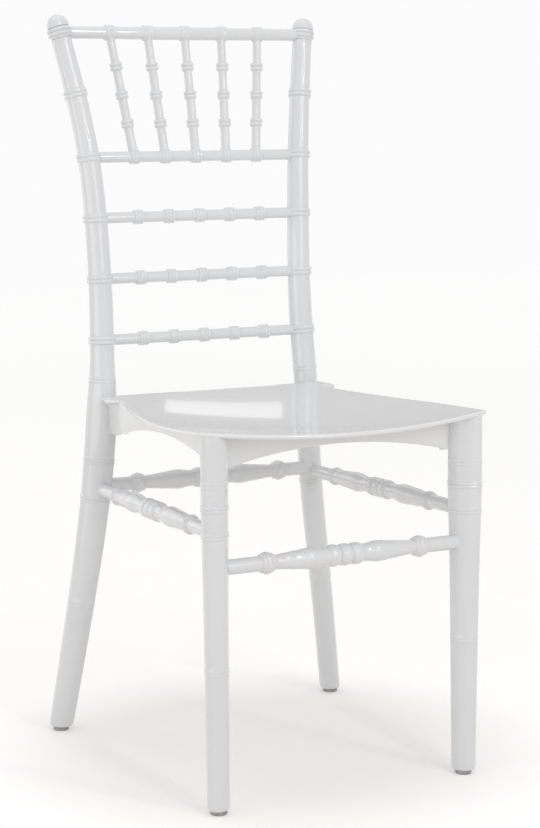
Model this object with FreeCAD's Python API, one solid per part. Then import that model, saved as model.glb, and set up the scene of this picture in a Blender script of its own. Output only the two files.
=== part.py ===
import FreeCAD, Part
import os
from math import cos, pi, radians, sin, sqrt
from FreeCAD import Vector

# A ballroom chair in glossy moulded resin, with turned legs, rails, spindles and stretchers.
# All sizes are in millimetres. While the pieces are made, the front legs stand on the line
# y = 0 and the back is toward +y. The sitter's left is +x, so "left" pieces are on that side.
# At the end the finished chair is centred over the origin, standing on z = 0.

os.makedirs("parts", exist_ok=True)

# Clearances between pieces that fit together
socket_clearance = 0.15
end_clearance = 0.3
joint_clearance = 0.25

# Height of the seat's front edge, from which every height above the stretchers is measured
seat_front_height = 436.0

# Floor glides, pressed into the four legs
glide_diameter = 20.0
glide_height = 5.0
glide_edge = 1.0
foot_edge = 3.0
foot_edge_inset = 2.0
glide_stem_diameter = 8.0
glide_stem_length = 14.0

# Front legs: middle line, and long and short diameters of the diagonal oval section
front_foot_span = 165.5
front_top_span = 166.5
front_leg_lean = 8.0
front_leg_top_rise = 1.0
front_leg_top = seat_front_height + front_leg_top_rise
front_foot_oval = (29.6, 25.6)
front_knee_oval = (36.0, 28.0)
front_knee_height = 245.0
front_head_oval = (41.4, 30.0)
front_head_height = 350.0
front_ring_height = 356.0

# Heights of the rails, slats and bare ring of the back, above the seat's front edge
slat_rises = {"low": 70.5, "middle": 147.9, "high": 224.5}
panel_rail_rise = 300.5
bare_ring_rise = 380.0
crest_rail_rise = 456.8
slat_heights = {name: seat_front_height + rise for name, rise in slat_rises.items()}
panel_rail_height = seat_front_height + panel_rail_rise
bare_ring_height = seat_front_height + bare_ring_rise
crest_rail_height = seat_front_height + crest_rail_rise

# Back posts: points on the middle line of the left post, from the floor to the crest rail
post_foot = Vector(200.0, 396.5, 0.0)
post_shin = Vector(176.0, 382.0, 163.0)
post_hock = Vector(153.5, 373.0, 337.0)
post_at_seat = Vector(147.0, 371.5, seat_front_height)
post_at_low_slat = Vector(143.6, 377.5, slat_heights["low"])
post_at_high_slat = Vector(144.9, 390.5, slat_heights["high"])
post_at_panel_rail = Vector(149.8, 399.8, panel_rail_height)
post_at_crest = Vector(173.6, 432.8, crest_rail_height)

# Back post section: a diagonal oval below the seat and round above it
post_foot_oval = (31.4, 27.4)
post_thigh_oval = (40.6, 30.2)
post_thigh_height = 345.0
post_oval_top_drop = 21.0
post_oval_top = seat_front_height - post_oval_top_drop
post_round_rise = 44.0
post_round_bottom = seat_front_height + post_round_rise
post_round_diameter = 31.2
post_crest_diameter = 25.0
post_calf_height = 250.0
post_fine_ring_height = 354.0

# Straight lengths of the legs and posts, where other pieces join them
stretcher_zone_height = 305.5
stretcher_zone_length = 60.0
post_stretcher_zone = 36.0
post_collar_length = 18.0
bolt_zone_length = 16.0

# Raised rings on the posts and legs
post_ring_rise = 2.2
post_ring_width = 11.0
leg_ring_rise = 0.9
leg_ring_width = 6.0

# Finial on top of each post: a double ring and a ball-shaped dome
post_head_drop = 2.0
post_head_height = crest_rail_height - post_head_drop
post_head_length = 14.0
finial_ring_diameter = 31.0
finial_ring_width = 11.0
finial_ring_lift = 2.2
finial_neck_diameter = 25.8
finial_dome_diameter = 28.5
finial_dome_height = 17.0
finial_dome_edge = 0.8

# Rails and slats of the back
crest_rail_diameter = 17.0
crest_rail_end_diameter = 15.5
back_rail_diameter = 13.8
back_rail_depth_in_post = 8.0
crest_ring_diameter = 20.4
rail_ring_diameter = 18.8
rail_ring_width = 14.0
ring_shoulder = 1.6
rail_ring_pitch = 43.5

# Spindles between the panel rail and the crest rail
spindle_count = 5
spindle_pitch_at_crest = 52.8
spindle_diameter = 11.8
spindle_top_diameter = 10.6
spindle_ring_diameter = 16.4
spindle_ring_width = 11.0
spindle_ring_count = 3
spindle_depth_in_rail = 3.4

# Turned stretchers: the end stretchers run across the chair, the side ones from front to back
front_stretcher_height = 286.3
rear_stretcher_height = 321.6
rear_stretcher_set_forward = 8.0
side_stretcher_front_height = 325.0
side_stretcher_back_height = 317.5
side_stretcher_inset = 2.5
stretcher_depth_in_leg = 5.0
stretcher_rod_diameter = 18.0
stretcher_waist_diameter = 17.2
stretcher_swell_diameter = 25.6
stretcher_neck_diameter = 21.8
stretcher_neck_place = 25.0
stretcher_bead_diameter = 26.2
stretcher_bead_groove_diameter = 22.8
stretcher_bead_pitch = 15.0
end_swell_place = 45.0
end_swell_length = 12.0
end_taper_place = 77.5
end_taper_diameter = 19.4
end_waist_place = 87.5
end_knob_place = 101.5
end_knob_width = 18.0
end_knob_diameter = 26.2
side_rod_diameter = 17.0
side_neck_place = 32.0
side_neck_diameter = 19.8
side_swell_diameter = 25.0
side_waist_diameter = 19.5
side_swell_place = 56.0
side_swell_length = 14.0
side_knob_place = 112.0
side_knob_width = 11.0
side_knob_diameter = 22.8

# Seat plate: points of the left half of its outline, rim heights and dish
seat_front_middle = Vector(0.0, -30.0, 0.0)
seat_front_corner = Vector(183.0, -8.4, 0.0)
seat_ear = Vector(187.8, -5.4, 0.0)
seat_side_front = Vector(189.5, 0.0, 0.0)
seat_side_swell = Vector(194.0, 60.0, 0.0)
seat_side_middle = Vector(189.0, 130.0, 0.0)
seat_side_waist = Vector(170.0, 220.0, 0.0)
seat_side_back = Vector(148.0, 300.0, 0.0)
seat_tab_root = Vector(146.0, 318.0, 0.0)
seat_tab_front = Vector(163.0, 322.0, 0.0)
seat_back_corner = Vector(157.0, 350.0, 0.0)
seat_thickness = 5.5
seat_back_rise = 3.5
seat_corner_lift = 11.2
seat_lift_fading = 4
seat_dish_depth = 9.0
seat_dish_span = 195.0
seat_dish_middle = 160.0

# Grid on which the seat's dished surface is worked out, wider than the seat all round
seat_grid_half_width = 225.0
seat_grid_front = -45.0
seat_grid_back = 365.0
seat_grid_steps = 6

# Aprons, ribs and corner blocks under the seat plate, with heights as drops from its front edge
apron_wall = 4.5
front_apron_y = 15.0
front_apron_end_drop = 39.5
front_apron_end_height = seat_front_height - front_apron_end_drop
front_apron_arch_drop = 20.2
front_apron_arch_height = seat_front_height - front_apron_arch_drop
front_apron_arch_span = 150.0
side_apron_front_x = 165.5
side_apron_back_x = 145.5
side_apron_front_drop = 34.0
side_apron_front_height = seat_front_height - side_apron_front_drop
side_apron_arch_drop = 19.0
side_apron_arch_height = seat_front_height - side_apron_arch_drop
side_apron_arch_y = 155.0
side_apron_back_drop = 45.0
side_apron_back_height = seat_front_height - side_apron_back_drop
side_apron_arch_end = 327.0
rear_apron_y = 340.0
rear_apron_arch_drop = 20.0
rear_apron_arch_height = seat_front_height - rear_apron_arch_drop
rear_apron_arch_span = 126.0
back_block_inner_x = 126.0
back_block_front = 338.0
back_block_back = 358.0
seat_rib_wall = 3.0
seat_rib_drop = 19.0
seat_rib_bottom = seat_front_height - seat_rib_drop
seat_rib_spacing = 75.0
seat_rib_first_y = 90.0
brace_wall = 8.0
brace_half_width = 30.0

# Bolts and threaded inserts that hold the posts and front legs to the seat
bolt_drop = 24.0
bolt_height = seat_front_height - bolt_drop
bolt_diameter = 6.0
bolt_head_diameter = 10.0
bolt_head_height = 6.0
bolt_hole_clearance = 0.25
bolt_head_clearance = 0.5
head_room_length = 25.0
bolt_bite = 15.0
insert_diameter = 8.5
insert_length = 13.0
insert_depth = 4.0
back_bolt_angle = 20.0
back_bolt_grip = 12.0

UP = Vector(0, 0, 1)
ACROSS = Vector(1, 0, 0)
FRONT_CORNER = Vector(1, -1, 0).normalize()
BACK_CORNER = Vector(1, 1, 0).normalize()

# How far pieces run into what they are joined to, and blanks and cutters past a surface
overlap = 0.6
blank_reach = 60.0

foot_edge_top = glide_height + foot_edge


def mirrored(shape):
    """The same piece for the other side of the chair."""
    return shape.mirror(Vector(0, 0, 0), ACROSS)


def turned(profile, start, direction):
    """A turned piece from (distance along the axis, radius) points.

    A third item marks a point that an arc passes through between its two neighbours.
    """
    points = [Vector(point[1], 0, point[0]) for point in profile]
    edges = []
    place = 0
    while place < len(points) - 1:
        if len(profile[place + 1]) == 3:
            edges.append(Part.Arc(*points[place : place + 3]).toShape())
            place += 2
        else:
            edges.append(Part.makeLine(points[place], points[place + 1]))
            place += 1
    foot = Vector(0, 0, points[0].z)
    head = Vector(0, 0, points[-1].z)
    if points[0].x > 0:
        edges.insert(0, Part.makeLine(foot, points[0]))
    if points[-1].x > 0:
        edges.append(Part.makeLine(points[-1], head))
    edges.append(Part.makeLine(head, foot))
    solid = Part.Face(Part.Wire(edges)).revolve(Vector(0, 0, 0), UP, 360)
    if direction.getAngle(UP) > 0:
        solid.rotate(Vector(0, 0, 0), UP.cross(direction), direction.getAngle(UP) * 180 / pi)
    solid.translate(start)
    return solid


def rod(diameter, start, end):
    """A plain round bar between two points."""
    direction = end - start
    return Part.makeCylinder(diameter / 2, direction.Length, start, direction)


def double_ring(middle, width, low, high):
    """Profile points of a raised ring with two crests and a groove between them."""
    return [
        (middle - width / 2, low),
        (middle - width / 4, high),
        (middle, (low + high) / 2),
        (middle + width / 4, high),
        (middle + width / 2, low),
    ]


def oval(centre, axis, long_way, diameters):
    """A closed oval of four arcs square to the axis, with its long diameter near long_way."""
    half_long = diameters[0] / 2
    half_short = diameters[1] / 2
    axis = Vector(axis).normalize()
    along = (long_way - axis * long_way.dot(axis)).normalize()
    across = axis.cross(along)
    if half_long - half_short < 1e-3:
        corner_along = half_long * sqrt(0.5)
        corner_across = corner_along
    else:
        end_radius = half_short * sqrt(half_short / half_long)
        end_centre = half_long - end_radius
        side_radius = (end_centre**2 + half_short**2 - end_radius**2) / 2 / (half_short - end_radius)
        side_centre = side_radius - half_short
        stretch = side_radius / sqrt(end_centre**2 + side_centre**2)
        corner_along = end_centre * stretch
        corner_across = side_centre * (stretch - 1)
    corners = []
    for a, b in [(1, 1), (-1, 1), (-1, -1), (1, -1)]:
        corners.append(centre + along * (corner_along * a) + across * (corner_across * b))
    tips = [
        centre + across * half_short,
        centre - along * half_long,
        centre - across * half_short,
        centre + along * half_long,
    ]
    edges = []
    for number in range(4):
        arc = Part.Arc(corners[number], tips[number], corners[(number + 1) % 4])
        edges.append(arc.toShape())
    return Part.Wire(edges)


def oval_at(height, stations):
    """Diameters of an oval at a height, in straight steps between (height, oval) stations."""
    for (low, first), (high, second) in zip(stations[:-1], stations[1:]):
        if height <= high:
            break
    share = (height - low) / (high - low)
    return tuple(a + (b - a) * share for a, b in zip(first, second))


def grown(diameters, rise):
    return tuple(diameter + 2 * rise for diameter in diameters)


def limb(course, place_at, diameters_at, long_way, growth):
    """A leg or post from the floor up, all round larger by a growth.

    The course lists (height, rise) stations, joined by ruled tapers. A third item makes a
    straight length of that size with the station in its middle, where other pieces join.
    """
    pieces = []
    sections = []
    for station in course:
        height, rise = station[:2]
        centre, axis = place_at(height)
        diameters = grown(diameters_at(height), rise + growth)
        if len(station) == 2:
            sections.append(oval(centre, axis, long_way, diameters))
            continue
        length = station[2]
        start = oval(centre - axis * (length / 2), axis, long_way, diameters)
        pieces.append(Part.makeLoft(sections + [start], True, True))
        pieces.append(Part.Face(start).extrude(axis * length))
        sections = [oval(centre + axis * (length / 2), axis, long_way, diameters)]
    if len(sections) > 1:
        pieces.append(Part.makeLoft(sections, True, True))
    return pieces[0].fuse(pieces[1:])


def limb_ring(height):
    """Stations of a fine raised ring around an oval limb."""
    return [
        (height - leg_ring_width / 2, 0.0),
        (height, leg_ring_rise),
        (height + leg_ring_width / 2, 0.0),
    ]


def inner_reach(diameters):
    """How far a diagonal oval reaches from its middle toward the inside of the chair."""
    return sqrt((diameters[0] ** 2 + diameters[1] ** 2) / 8)


# Front leg
front_leg_stations = [
    (0.0, front_foot_oval),
    (front_knee_height, front_knee_oval),
    (front_head_height, front_head_oval),
    (front_leg_top, front_head_oval),
]
front_leg_axis = Vector(front_top_span - front_foot_span, front_leg_lean, front_leg_top).normalize()


def front_leg_place(height):
    share = height / front_leg_top
    span = front_foot_span + (front_top_span - front_foot_span) * share
    axis = UP if height <= foot_edge_top else front_leg_axis
    return Vector(span, front_leg_lean * share, height), axis


def front_leg_oval(height):
    return oval_at(height, front_leg_stations)


def front_leg_limb(growth, top):
    head_low = bolt_height - bolt_zone_length / 2
    course = [
        (glide_height, -foot_edge_inset),
        (foot_edge_top, 0.0),
        (front_knee_height / 2, 0.0),
        (stretcher_zone_height, 0.0, stretcher_zone_length),
    ]
    course += limb_ring(front_ring_height)
    course.append(((head_low + top) / 2, 0.0, top - head_low))
    return limb(course, front_leg_place, front_leg_oval, FRONT_CORNER, growth)


# Back post: one piece from the floor to the finial, splayed below the seat and leaning back
# above it
post_line = Part.BSplineCurve()
post_line.interpolate(
    [
        post_foot,
        post_shin,
        post_hock,
        post_at_seat,
        post_at_low_slat,
        post_at_high_slat,
        post_at_panel_rail,
        post_at_crest,
    ]
)
post_stations = [
    (0.0, post_foot_oval),
    (post_thigh_height, post_thigh_oval),
    (post_oval_top, post_thigh_oval),
    (post_round_bottom, (post_round_diameter, post_round_diameter)),
    (crest_rail_height, (post_crest_diameter, post_crest_diameter)),
]
post_ring_heights = sorted(slat_heights.values()) + [panel_rail_height, bare_ring_height]


def post_place(height):
    """Centre and direction of the post's middle line at a height, found by halving."""
    low = post_line.FirstParameter
    high = post_line.LastParameter
    for _ in range(40):
        middle = (low + high) / 2
        if post_line.value(middle).z < height:
            low = middle
        else:
            high = middle
    axis = UP if height <= foot_edge_top else Vector(post_line.tangent(middle)[0]).normalize()
    return post_line.value(middle), axis


def post_oval(height):
    return oval_at(height, post_stations)


def post_limb(growth):
    stretcher_height = (rear_stretcher_height + side_stretcher_back_height) / 2
    course = [
        (glide_height, -foot_edge_inset),
        (foot_edge_top, 0.0),
        (post_shin.z / 2, 0.0),
        (post_shin.z, 0.0),
        (post_calf_height, 0.0),
        (stretcher_height, 0.0, post_stretcher_zone),
    ]
    course += limb_ring(post_fine_ring_height)
    course.append((bolt_height, 0.0, bolt_zone_length))
    course.append((post_round_bottom, 0.0))
    for height in post_ring_heights:
        course.append((height, 0.0, post_collar_length))
    course.append((post_head_height, 0.0, post_head_length))
    return limb(course, post_place, post_oval, BACK_CORNER, growth)


# Joints where rails and stretchers enter the posts and legs
def socket(diameter, end, direction):
    """A blind hole for a bar that runs along a direction and stops at end."""
    bottom = end + direction * end_clearance
    return rod(diameter + 2 * socket_clearance, bottom, bottom - direction * blank_reach)


def back_rail_end(height):
    """Where the left end of a back rail stops inside the post."""
    centre = post_place(height)[0]
    return centre - ACROSS * (post_oval(height)[0] / 2 - back_rail_depth_in_post)


def front_stretcher_end():
    centre = front_leg_place(front_stretcher_height)[0]
    depth = inner_reach(front_leg_oval(front_stretcher_height)) - stretcher_depth_in_leg
    return centre - ACROSS * depth


def rear_stretcher_end():
    centre = post_place(rear_stretcher_height)[0]
    depth = inner_reach(post_oval(rear_stretcher_height)) - stretcher_depth_in_leg
    return centre - ACROSS * depth - Vector(0, rear_stretcher_set_forward, 0)


def side_stretcher_ends():
    """Front and back ends of the left side stretcher, inside the leg and the post."""
    front = front_leg_place(side_stretcher_front_height)[0] - ACROSS * side_stretcher_inset
    back = post_place(side_stretcher_back_height)[0] - ACROSS * side_stretcher_inset
    direction = (back - front).normalize()
    front_depth = inner_reach(front_leg_oval(front.z)) - stretcher_depth_in_leg
    back_depth = inner_reach(post_oval(back.z)) - stretcher_depth_in_leg
    return front + direction * front_depth, back - direction * back_depth


# Bolted joints: one bolt per corner, from inside the seat into a leg or post
def front_bolt_seat():
    """Where the left front leg's bolt leaves the seat's brace, its direction and its grip."""
    centre = front_leg_place(bolt_height)[0]
    depth = front_leg_oval(bolt_height)[0] / 2 + joint_clearance
    return centre - FRONT_CORNER * depth, FRONT_CORNER, brace_wall


def back_bolt_seat():
    """Where the left post's bolt leaves the seat's back block, its direction and its grip."""
    centre = post_place(bolt_height)[0]
    direction = Vector(sin(radians(back_bolt_angle)), cos(radians(back_bolt_angle)), 0)
    return centre - direction * inner_reach(post_oval(bolt_height)), direction, back_bolt_grip


def bolt(seat):
    """A bolt whose head bears on the inside of the seat's wall."""
    place, direction, grip = seat
    under_head = place - direction * grip
    shank = rod(bolt_diameter, under_head, place + direction * bolt_bite)
    head = rod(bolt_head_diameter, under_head - direction * bolt_head_height, under_head)
    return shank.fuse(head)


def bolt_hole(seat):
    place, direction, grip = seat
    diameter = bolt_diameter + 2 * bolt_hole_clearance
    return rod(diameter, place - direction * blank_reach, place + direction * insert_depth)


def head_room(seat):
    """The bore in the seat's wall that the bolt's head sits in."""
    place, direction, grip = seat
    under_head = place - direction * grip
    diameter = bolt_head_diameter + 2 * bolt_head_clearance
    return rod(diameter, under_head, under_head - direction * head_room_length)


def insert_start(seat):
    """The outer end of a threaded insert, just under the surface of the leg or post."""
    place, direction, grip = seat
    return place + direction * insert_depth


def insert(seat):
    place, direction, grip = seat
    start = insert_start(seat)
    sleeve = rod(insert_diameter, start, start + direction * insert_length)
    return sleeve.cut(rod(bolt_diameter, start, start + direction * (insert_length + overlap)))


def insert_hole(seat):
    place, direction, grip = seat
    end = insert_start(seat) + direction * (insert_length + end_clearance)
    return rod(insert_diameter, place - direction * insert_length, end)


# The pieces
def glide(place):
    """A round foot with an eased edge and a stem that is pressed into the leg."""
    radius = glide_diameter / 2
    profile = [
        (0.0, radius - glide_edge),
        (glide_edge, radius),
        (glide_height, radius),
        (glide_height, glide_stem_diameter / 2),
        (glide_height + glide_stem_length, glide_stem_diameter / 2),
    ]
    return turned(profile, Vector(place.x, place.y, 0), UP)


def glide_hole(place):
    start = Vector(place.x, place.y, 0)
    top = glide_height + glide_stem_length + end_clearance
    return rod(glide_stem_diameter, start, start + UP * top)


def front_leg():
    leg = front_leg_limb(0.0, front_leg_top)
    leg = leg.cut(glide_hole(front_leg_place(glide_height)[0]))
    leg = leg.cut(socket(stretcher_rod_diameter, front_stretcher_end(), ACROSS))
    front, back = side_stretcher_ends()
    leg = leg.cut(socket(side_rod_diameter, front, (front - back).normalize()))
    return leg.cut(insert_hole(front_bolt_seat()))


def finial():
    """The double ring level with the crest rail and the ball-shaped dome that ends the post."""
    centre, axis = post_place(post_head_height)
    ring = finial_ring_diameter / 2
    ball = finial_dome_diameter / 2
    neck = finial_ring_lift + finial_ring_width / 2
    top = neck + finial_dome_height
    ball_centre = top - ball
    edge = neck + finial_dome_edge
    profile = double_ring(finial_ring_lift, finial_ring_width, finial_neck_diameter / 2, ring)
    profile[0] = (finial_ring_lift - finial_ring_width / 2, post_crest_diameter / 2 - overlap)
    profile.append((edge, sqrt(ball**2 - (ball_centre - edge) ** 2)))
    profile.append((ball_centre + ball * sin(pi / 4), ball * cos(pi / 4), "arc"))
    profile.append((top, 0.0))
    return turned(profile, centre, axis)


def post_ring(height):
    centre, axis = post_place(height)
    radius = post_oval(height)[0] / 2
    profile = double_ring(0.0, post_ring_width, radius - overlap, radius + post_ring_rise)
    return turned(profile, centre, axis)


def back_post():
    post = post_limb(0.0)
    post = post.fuse([post_ring(height) for height in post_ring_heights] + [finial()])
    post = post.cut(glide_hole(post_place(glide_height)[0]))
    for height in [panel_rail_height] + list(slat_heights.values()):
        post = post.cut(socket(back_rail_diameter, back_rail_end(height), ACROSS))
    post = post.cut(socket(crest_rail_end_diameter, back_rail_end(crest_rail_height), ACROSS))
    post = post.cut(socket(stretcher_rod_diameter, rear_stretcher_end(), ACROSS))
    front, back = side_stretcher_ends()
    post = post.cut(socket(side_rod_diameter, back, (back - front).normalize()))
    return post.cut(insert_hole(back_bolt_seat()))


def both_ways(half):
    """A full profile along x from its left half, given from the middle outward."""
    return [(-point[0],) + point[1:] for point in reversed(half) if point[0] > 0] + half


def ringed_bar(end, middle_diameter, end_diameter, ring_diameter, pitch):
    """A back rail or slat from post to post, with five raised rings."""
    def radius_at(x):
        return (middle_diameter + (end_diameter - middle_diameter) * x / pitch / 2) / 2

    crest = rail_ring_width / 2 - ring_shoulder
    half = [(crest, ring_diameter / 2), (rail_ring_width / 2, radius_at(0.0))]
    for place in [pitch, 2 * pitch]:
        half.append((place - rail_ring_width / 2, radius_at(place - pitch)))
        half.append((place - crest, ring_diameter / 2))
        half.append((place + crest, ring_diameter / 2))
        half.append((place + rail_ring_width / 2, radius_at(place)))
    half.append((end.x, radius_at(2 * pitch)))
    return turned(both_ways(half), Vector(0, end.y, end.z), ACROSS)


def spindle_axis(number):
    """Where a spindle's axis meets the panel rail's axis and the crest rail's axis."""
    place = number - (spindle_count - 1) / 2
    low = Vector(place * rail_ring_pitch, post_place(panel_rail_height)[0].y, panel_rail_height)
    crest_y = post_place(crest_rail_height)[0].y
    return low, Vector(place * spindle_pitch_at_crest, crest_y, crest_rail_height)


def spindle_ends(number):
    low, high = spindle_axis(number)
    direction = (high - low).normalize()
    bottom = low + direction * (rail_ring_diameter / 2 - spindle_depth_in_rail)
    top = high - direction * (crest_ring_diameter / 2 - spindle_depth_in_rail)
    return bottom, top, direction


def spindle(number):
    bottom, top, direction = spindle_ends(number)
    length = (top - bottom).Length
    step = (spindle_top_diameter - spindle_diameter) / 2 / spindle_ring_count
    crest = spindle_ring_width / 2 - ring_shoulder
    profile = [(0.0, spindle_diameter / 2)]
    for ring in range(1, spindle_ring_count + 1):
        middle = length * ring / (spindle_ring_count + 1)
        radius = spindle_diameter / 2 + step * (ring - 1)
        profile.append((middle - spindle_ring_width / 2, radius))
        profile.append((middle - crest, spindle_ring_diameter / 2))
        profile.append((middle + crest, spindle_ring_diameter / 2))
        profile.append((middle + spindle_ring_width / 2, radius + step))
    profile.append((length, spindle_top_diameter / 2))
    return turned(profile, bottom, direction)


def back_rail(height):
    return ringed_bar(
        back_rail_end(height), back_rail_diameter, back_rail_diameter, rail_ring_diameter, rail_ring_pitch
    )


def panel_rail():
    rail = back_rail(panel_rail_height)
    for number in range(spindle_count):
        bottom, top, direction = spindle_ends(number)
        rail = rail.cut(socket(spindle_diameter, bottom, direction * -1))
    return rail


def crest_rail():
    rail = ringed_bar(
        back_rail_end(crest_rail_height),
        crest_rail_diameter,
        crest_rail_end_diameter,
        crest_ring_diameter,
        spindle_pitch_at_crest,
    )
    for number in range(spindle_count):
        bottom, top, direction = spindle_ends(number)
        rail = rail.cut(socket(spindle_top_diameter, top, direction))
    return rail


def bead_group():
    """Half of the three beads in the middle of a stretcher, from the middle outward."""
    bead = stretcher_bead_diameter / 2
    groove = stretcher_bead_groove_diameter / 2
    step = stretcher_bead_pitch / 4
    return [
        (step, bead),
        (2 * step, groove),
        (3 * step, bead),
        (5 * step, bead),
    ]


def knob(place, width, diameter, inner, outer):
    """A turned knob: inner and outer are the rod's diameters on its two sides."""
    return [
        (place - width / 2, inner / 2),
        (place - width / 4, diameter / 2),
        (place + width / 4, diameter / 2),
        (place + width / 2, outer / 2),
    ]


def end_stretcher(end):
    """The stretcher between the two front legs or the two posts."""
    half = bead_group()
    half.append((stretcher_neck_place, stretcher_neck_diameter / 2))
    half.append((end_swell_place - end_swell_length / 2, stretcher_swell_diameter / 2))
    half.append((end_swell_place + end_swell_length / 2, stretcher_swell_diameter / 2))
    half.append((end_taper_place, end_taper_diameter / 2))
    half.append((end_waist_place, stretcher_waist_diameter / 2))
    half += knob(
        end_knob_place,
        end_knob_width,
        end_knob_diameter,
        stretcher_waist_diameter,
        stretcher_rod_diameter,
    )
    half.append((end.x, stretcher_rod_diameter / 2))
    return turned(both_ways(half), Vector(0, end.y, end.z), ACROSS)


def side_stretcher():
    front, back = side_stretcher_ends()
    direction = (back - front).normalize()
    half = bead_group()
    half.append((side_neck_place, side_neck_diameter / 2))
    half.append((side_swell_place - side_swell_length / 2, side_swell_diameter / 2))
    half.append((side_swell_place + side_swell_length / 2, side_swell_diameter / 2))
    half += knob(
        side_knob_place, side_knob_width, side_knob_diameter, side_waist_diameter, side_rod_diameter
    )
    half.append(((back - front).Length / 2, side_rod_diameter / 2))
    return turned(both_ways(half), (front + back) / 2, direction)


def seat_top_height(x, y):
    """Height of the seat's upper surface: corners lifted at the front, dished in the middle."""
    rear = (y - seat_front_middle.y) / (seat_back_corner.y - seat_front_middle.y)
    rim = seat_front_height + seat_back_rise * rear
    lift = seat_corner_lift * (1 - rear) ** seat_lift_fading * (x / seat_front_corner.x) ** 2
    across = (x / seat_dish_span) ** 2
    along = ((y - seat_dish_middle) / seat_dish_span) ** 2
    return rim + lift - seat_dish_depth * (1 - across) * (1 - along)


def seat_top_face():
    grid = []
    for column in range(seat_grid_steps + 1):
        x = seat_grid_half_width * (2 * column / seat_grid_steps - 1)
        points = []
        for row in range(seat_grid_steps + 1):
            y = seat_grid_front + (seat_grid_back - seat_grid_front) * row / seat_grid_steps
            points.append(Vector(x, y, seat_top_height(x, y)))
        grid.append(points)
    surface = Part.BSplineSurface()
    surface.interpolate(grid)
    return surface.toShape()


def seat_outline():
    """The plan outline of the seat plate, symmetric about x = 0."""
    def other(point):
        return Vector(-point.x, point.y, point.z)

    front = Part.Arc(other(seat_front_corner), seat_front_middle, seat_front_corner).toShape()
    left = [
        Part.Arc(seat_front_corner, seat_ear, seat_side_front).toShape(),
        Part.Arc(seat_side_front, seat_side_swell, seat_side_middle).toShape(),
        Part.Arc(seat_side_middle, seat_side_waist, seat_side_back).toShape(),
        Part.makeLine(seat_side_back, seat_tab_root),
        Part.makeLine(seat_tab_root, seat_tab_front),
        Part.makeLine(seat_tab_front, seat_back_corner),
    ]
    back = Part.makeLine(seat_back_corner, other(seat_back_corner))
    right = [mirrored(edge) for edge in reversed(left)]
    return Part.Wire([front] + left + [back] + right)


def seat_plate(top_face):
    prism = Part.Face(seat_outline()).extrude(UP * blank_reach)
    prism.translate(UP * (seat_front_height - blank_reach / 2))
    return prism.common(top_face.extrude(UP * -seat_thickness))


def plan_prism(points, low):
    """An upright block from plan points, from a level up into the seat plate."""
    corners = [Vector(x, y, low) for x, y in points]
    height = seat_front_height + blank_reach / 2 - low
    return Part.Face(Part.makePolygon(corners + [corners[0]])).extrude(UP * height)


def plan_box(low_x, high_x, low_y, high_y, low):
    """An upright block square to the chair, from a level up into the seat plate."""
    return plan_prism([(low_x, low_y), (high_x, low_y), (high_x, high_y), (low_x, high_y)], low)


def arch(points, direction, length):
    """The space under an arched lower edge, through the whole width of an apron."""
    start, crown, end = points
    down = UP * -blank_reach
    edges = [
        Part.Arc(start, crown, end).toShape(),
        Part.makeLine(end, end + down),
        Part.makeLine(end + down, start + down),
        Part.makeLine(start + down, start),
    ]
    return Part.Face(Part.Wire(edges)).extrude(direction * length)


def side_apron_x(y):
    share = (y - front_apron_y) / (seat_back_corner.y - front_apron_y)
    return side_apron_front_x + (side_apron_back_x - side_apron_front_x) * share


def end_apron(y, span, low, crown, arch_span):
    """The front or rear apron: a wall across the chair with an arched lower edge."""
    wall = plan_box(-span, span, y, y + apron_wall, low)
    points = [
        Vector(-arch_span, y - overlap, low),
        Vector(0, y - overlap, crown),
        Vector(arch_span, y - overlap, low),
    ]
    return wall.cut(arch(points, Vector(0, 1, 0), apron_wall + 2 * overlap))


def front_apron():
    return end_apron(
        front_apron_y,
        front_top_span,
        front_apron_end_height,
        front_apron_arch_height,
        front_apron_arch_span,
    )


def rear_apron():
    return end_apron(
        rear_apron_y,
        side_apron_back_x - overlap,
        side_apron_back_height,
        rear_apron_arch_height,
        rear_apron_arch_span,
    )


def side_apron():
    back = seat_back_corner.y
    wall = plan_prism(
        [
            (side_apron_front_x, front_apron_y),
            (side_apron_back_x, back),
            (side_apron_back_x - apron_wall, back),
            (side_apron_front_x - apron_wall, front_apron_y),
        ],
        side_apron_back_height,
    )
    inside = side_apron_back_x - apron_wall - overlap
    points = [
        Vector(inside, front_apron_y, side_apron_front_height),
        Vector(inside, side_apron_arch_y, side_apron_arch_height),
        Vector(inside, side_apron_arch_end, side_apron_back_height),
    ]
    return wall.cut(arch(points, ACROSS, side_apron_front_x - inside + overlap))


def corner_brace():
    """The wall square to the diagonal that the front leg is bolted to."""
    width = 2 * brace_half_width
    height = seat_front_height + blank_reach / 2 - front_apron_end_height
    wall = Part.makeBox(brace_wall, width, height, Vector(-brace_wall, -width / 2, 0))
    wall.rotate(Vector(0, 0, 0), UP, -45)
    place, direction, grip = front_bolt_seat()
    wall.translate(Vector(place.x, place.y, front_apron_end_height))
    return wall.common(inside_of_aprons(front_apron_end_height))


def inside_of_aprons(low):
    """The space within the outer faces of the aprons, which the braces stay inside of."""
    return plan_prism(
        [
            (0, front_apron_y + overlap),
            (side_apron_front_x - overlap, front_apron_y + overlap),
            (side_apron_back_x - overlap, seat_back_corner.y),
            (0, seat_back_corner.y),
        ],
        low,
    )


def back_block():
    """The block at the seat's back corner, hollowed to the shape of the post."""
    return plan_prism(
        [
            (back_block_inner_x, back_block_front),
            (side_apron_x(back_block_front), back_block_front),
            (side_apron_back_x, back_block_back),
            (back_block_inner_x, back_block_back),
        ],
        side_apron_back_height,
    )


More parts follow.
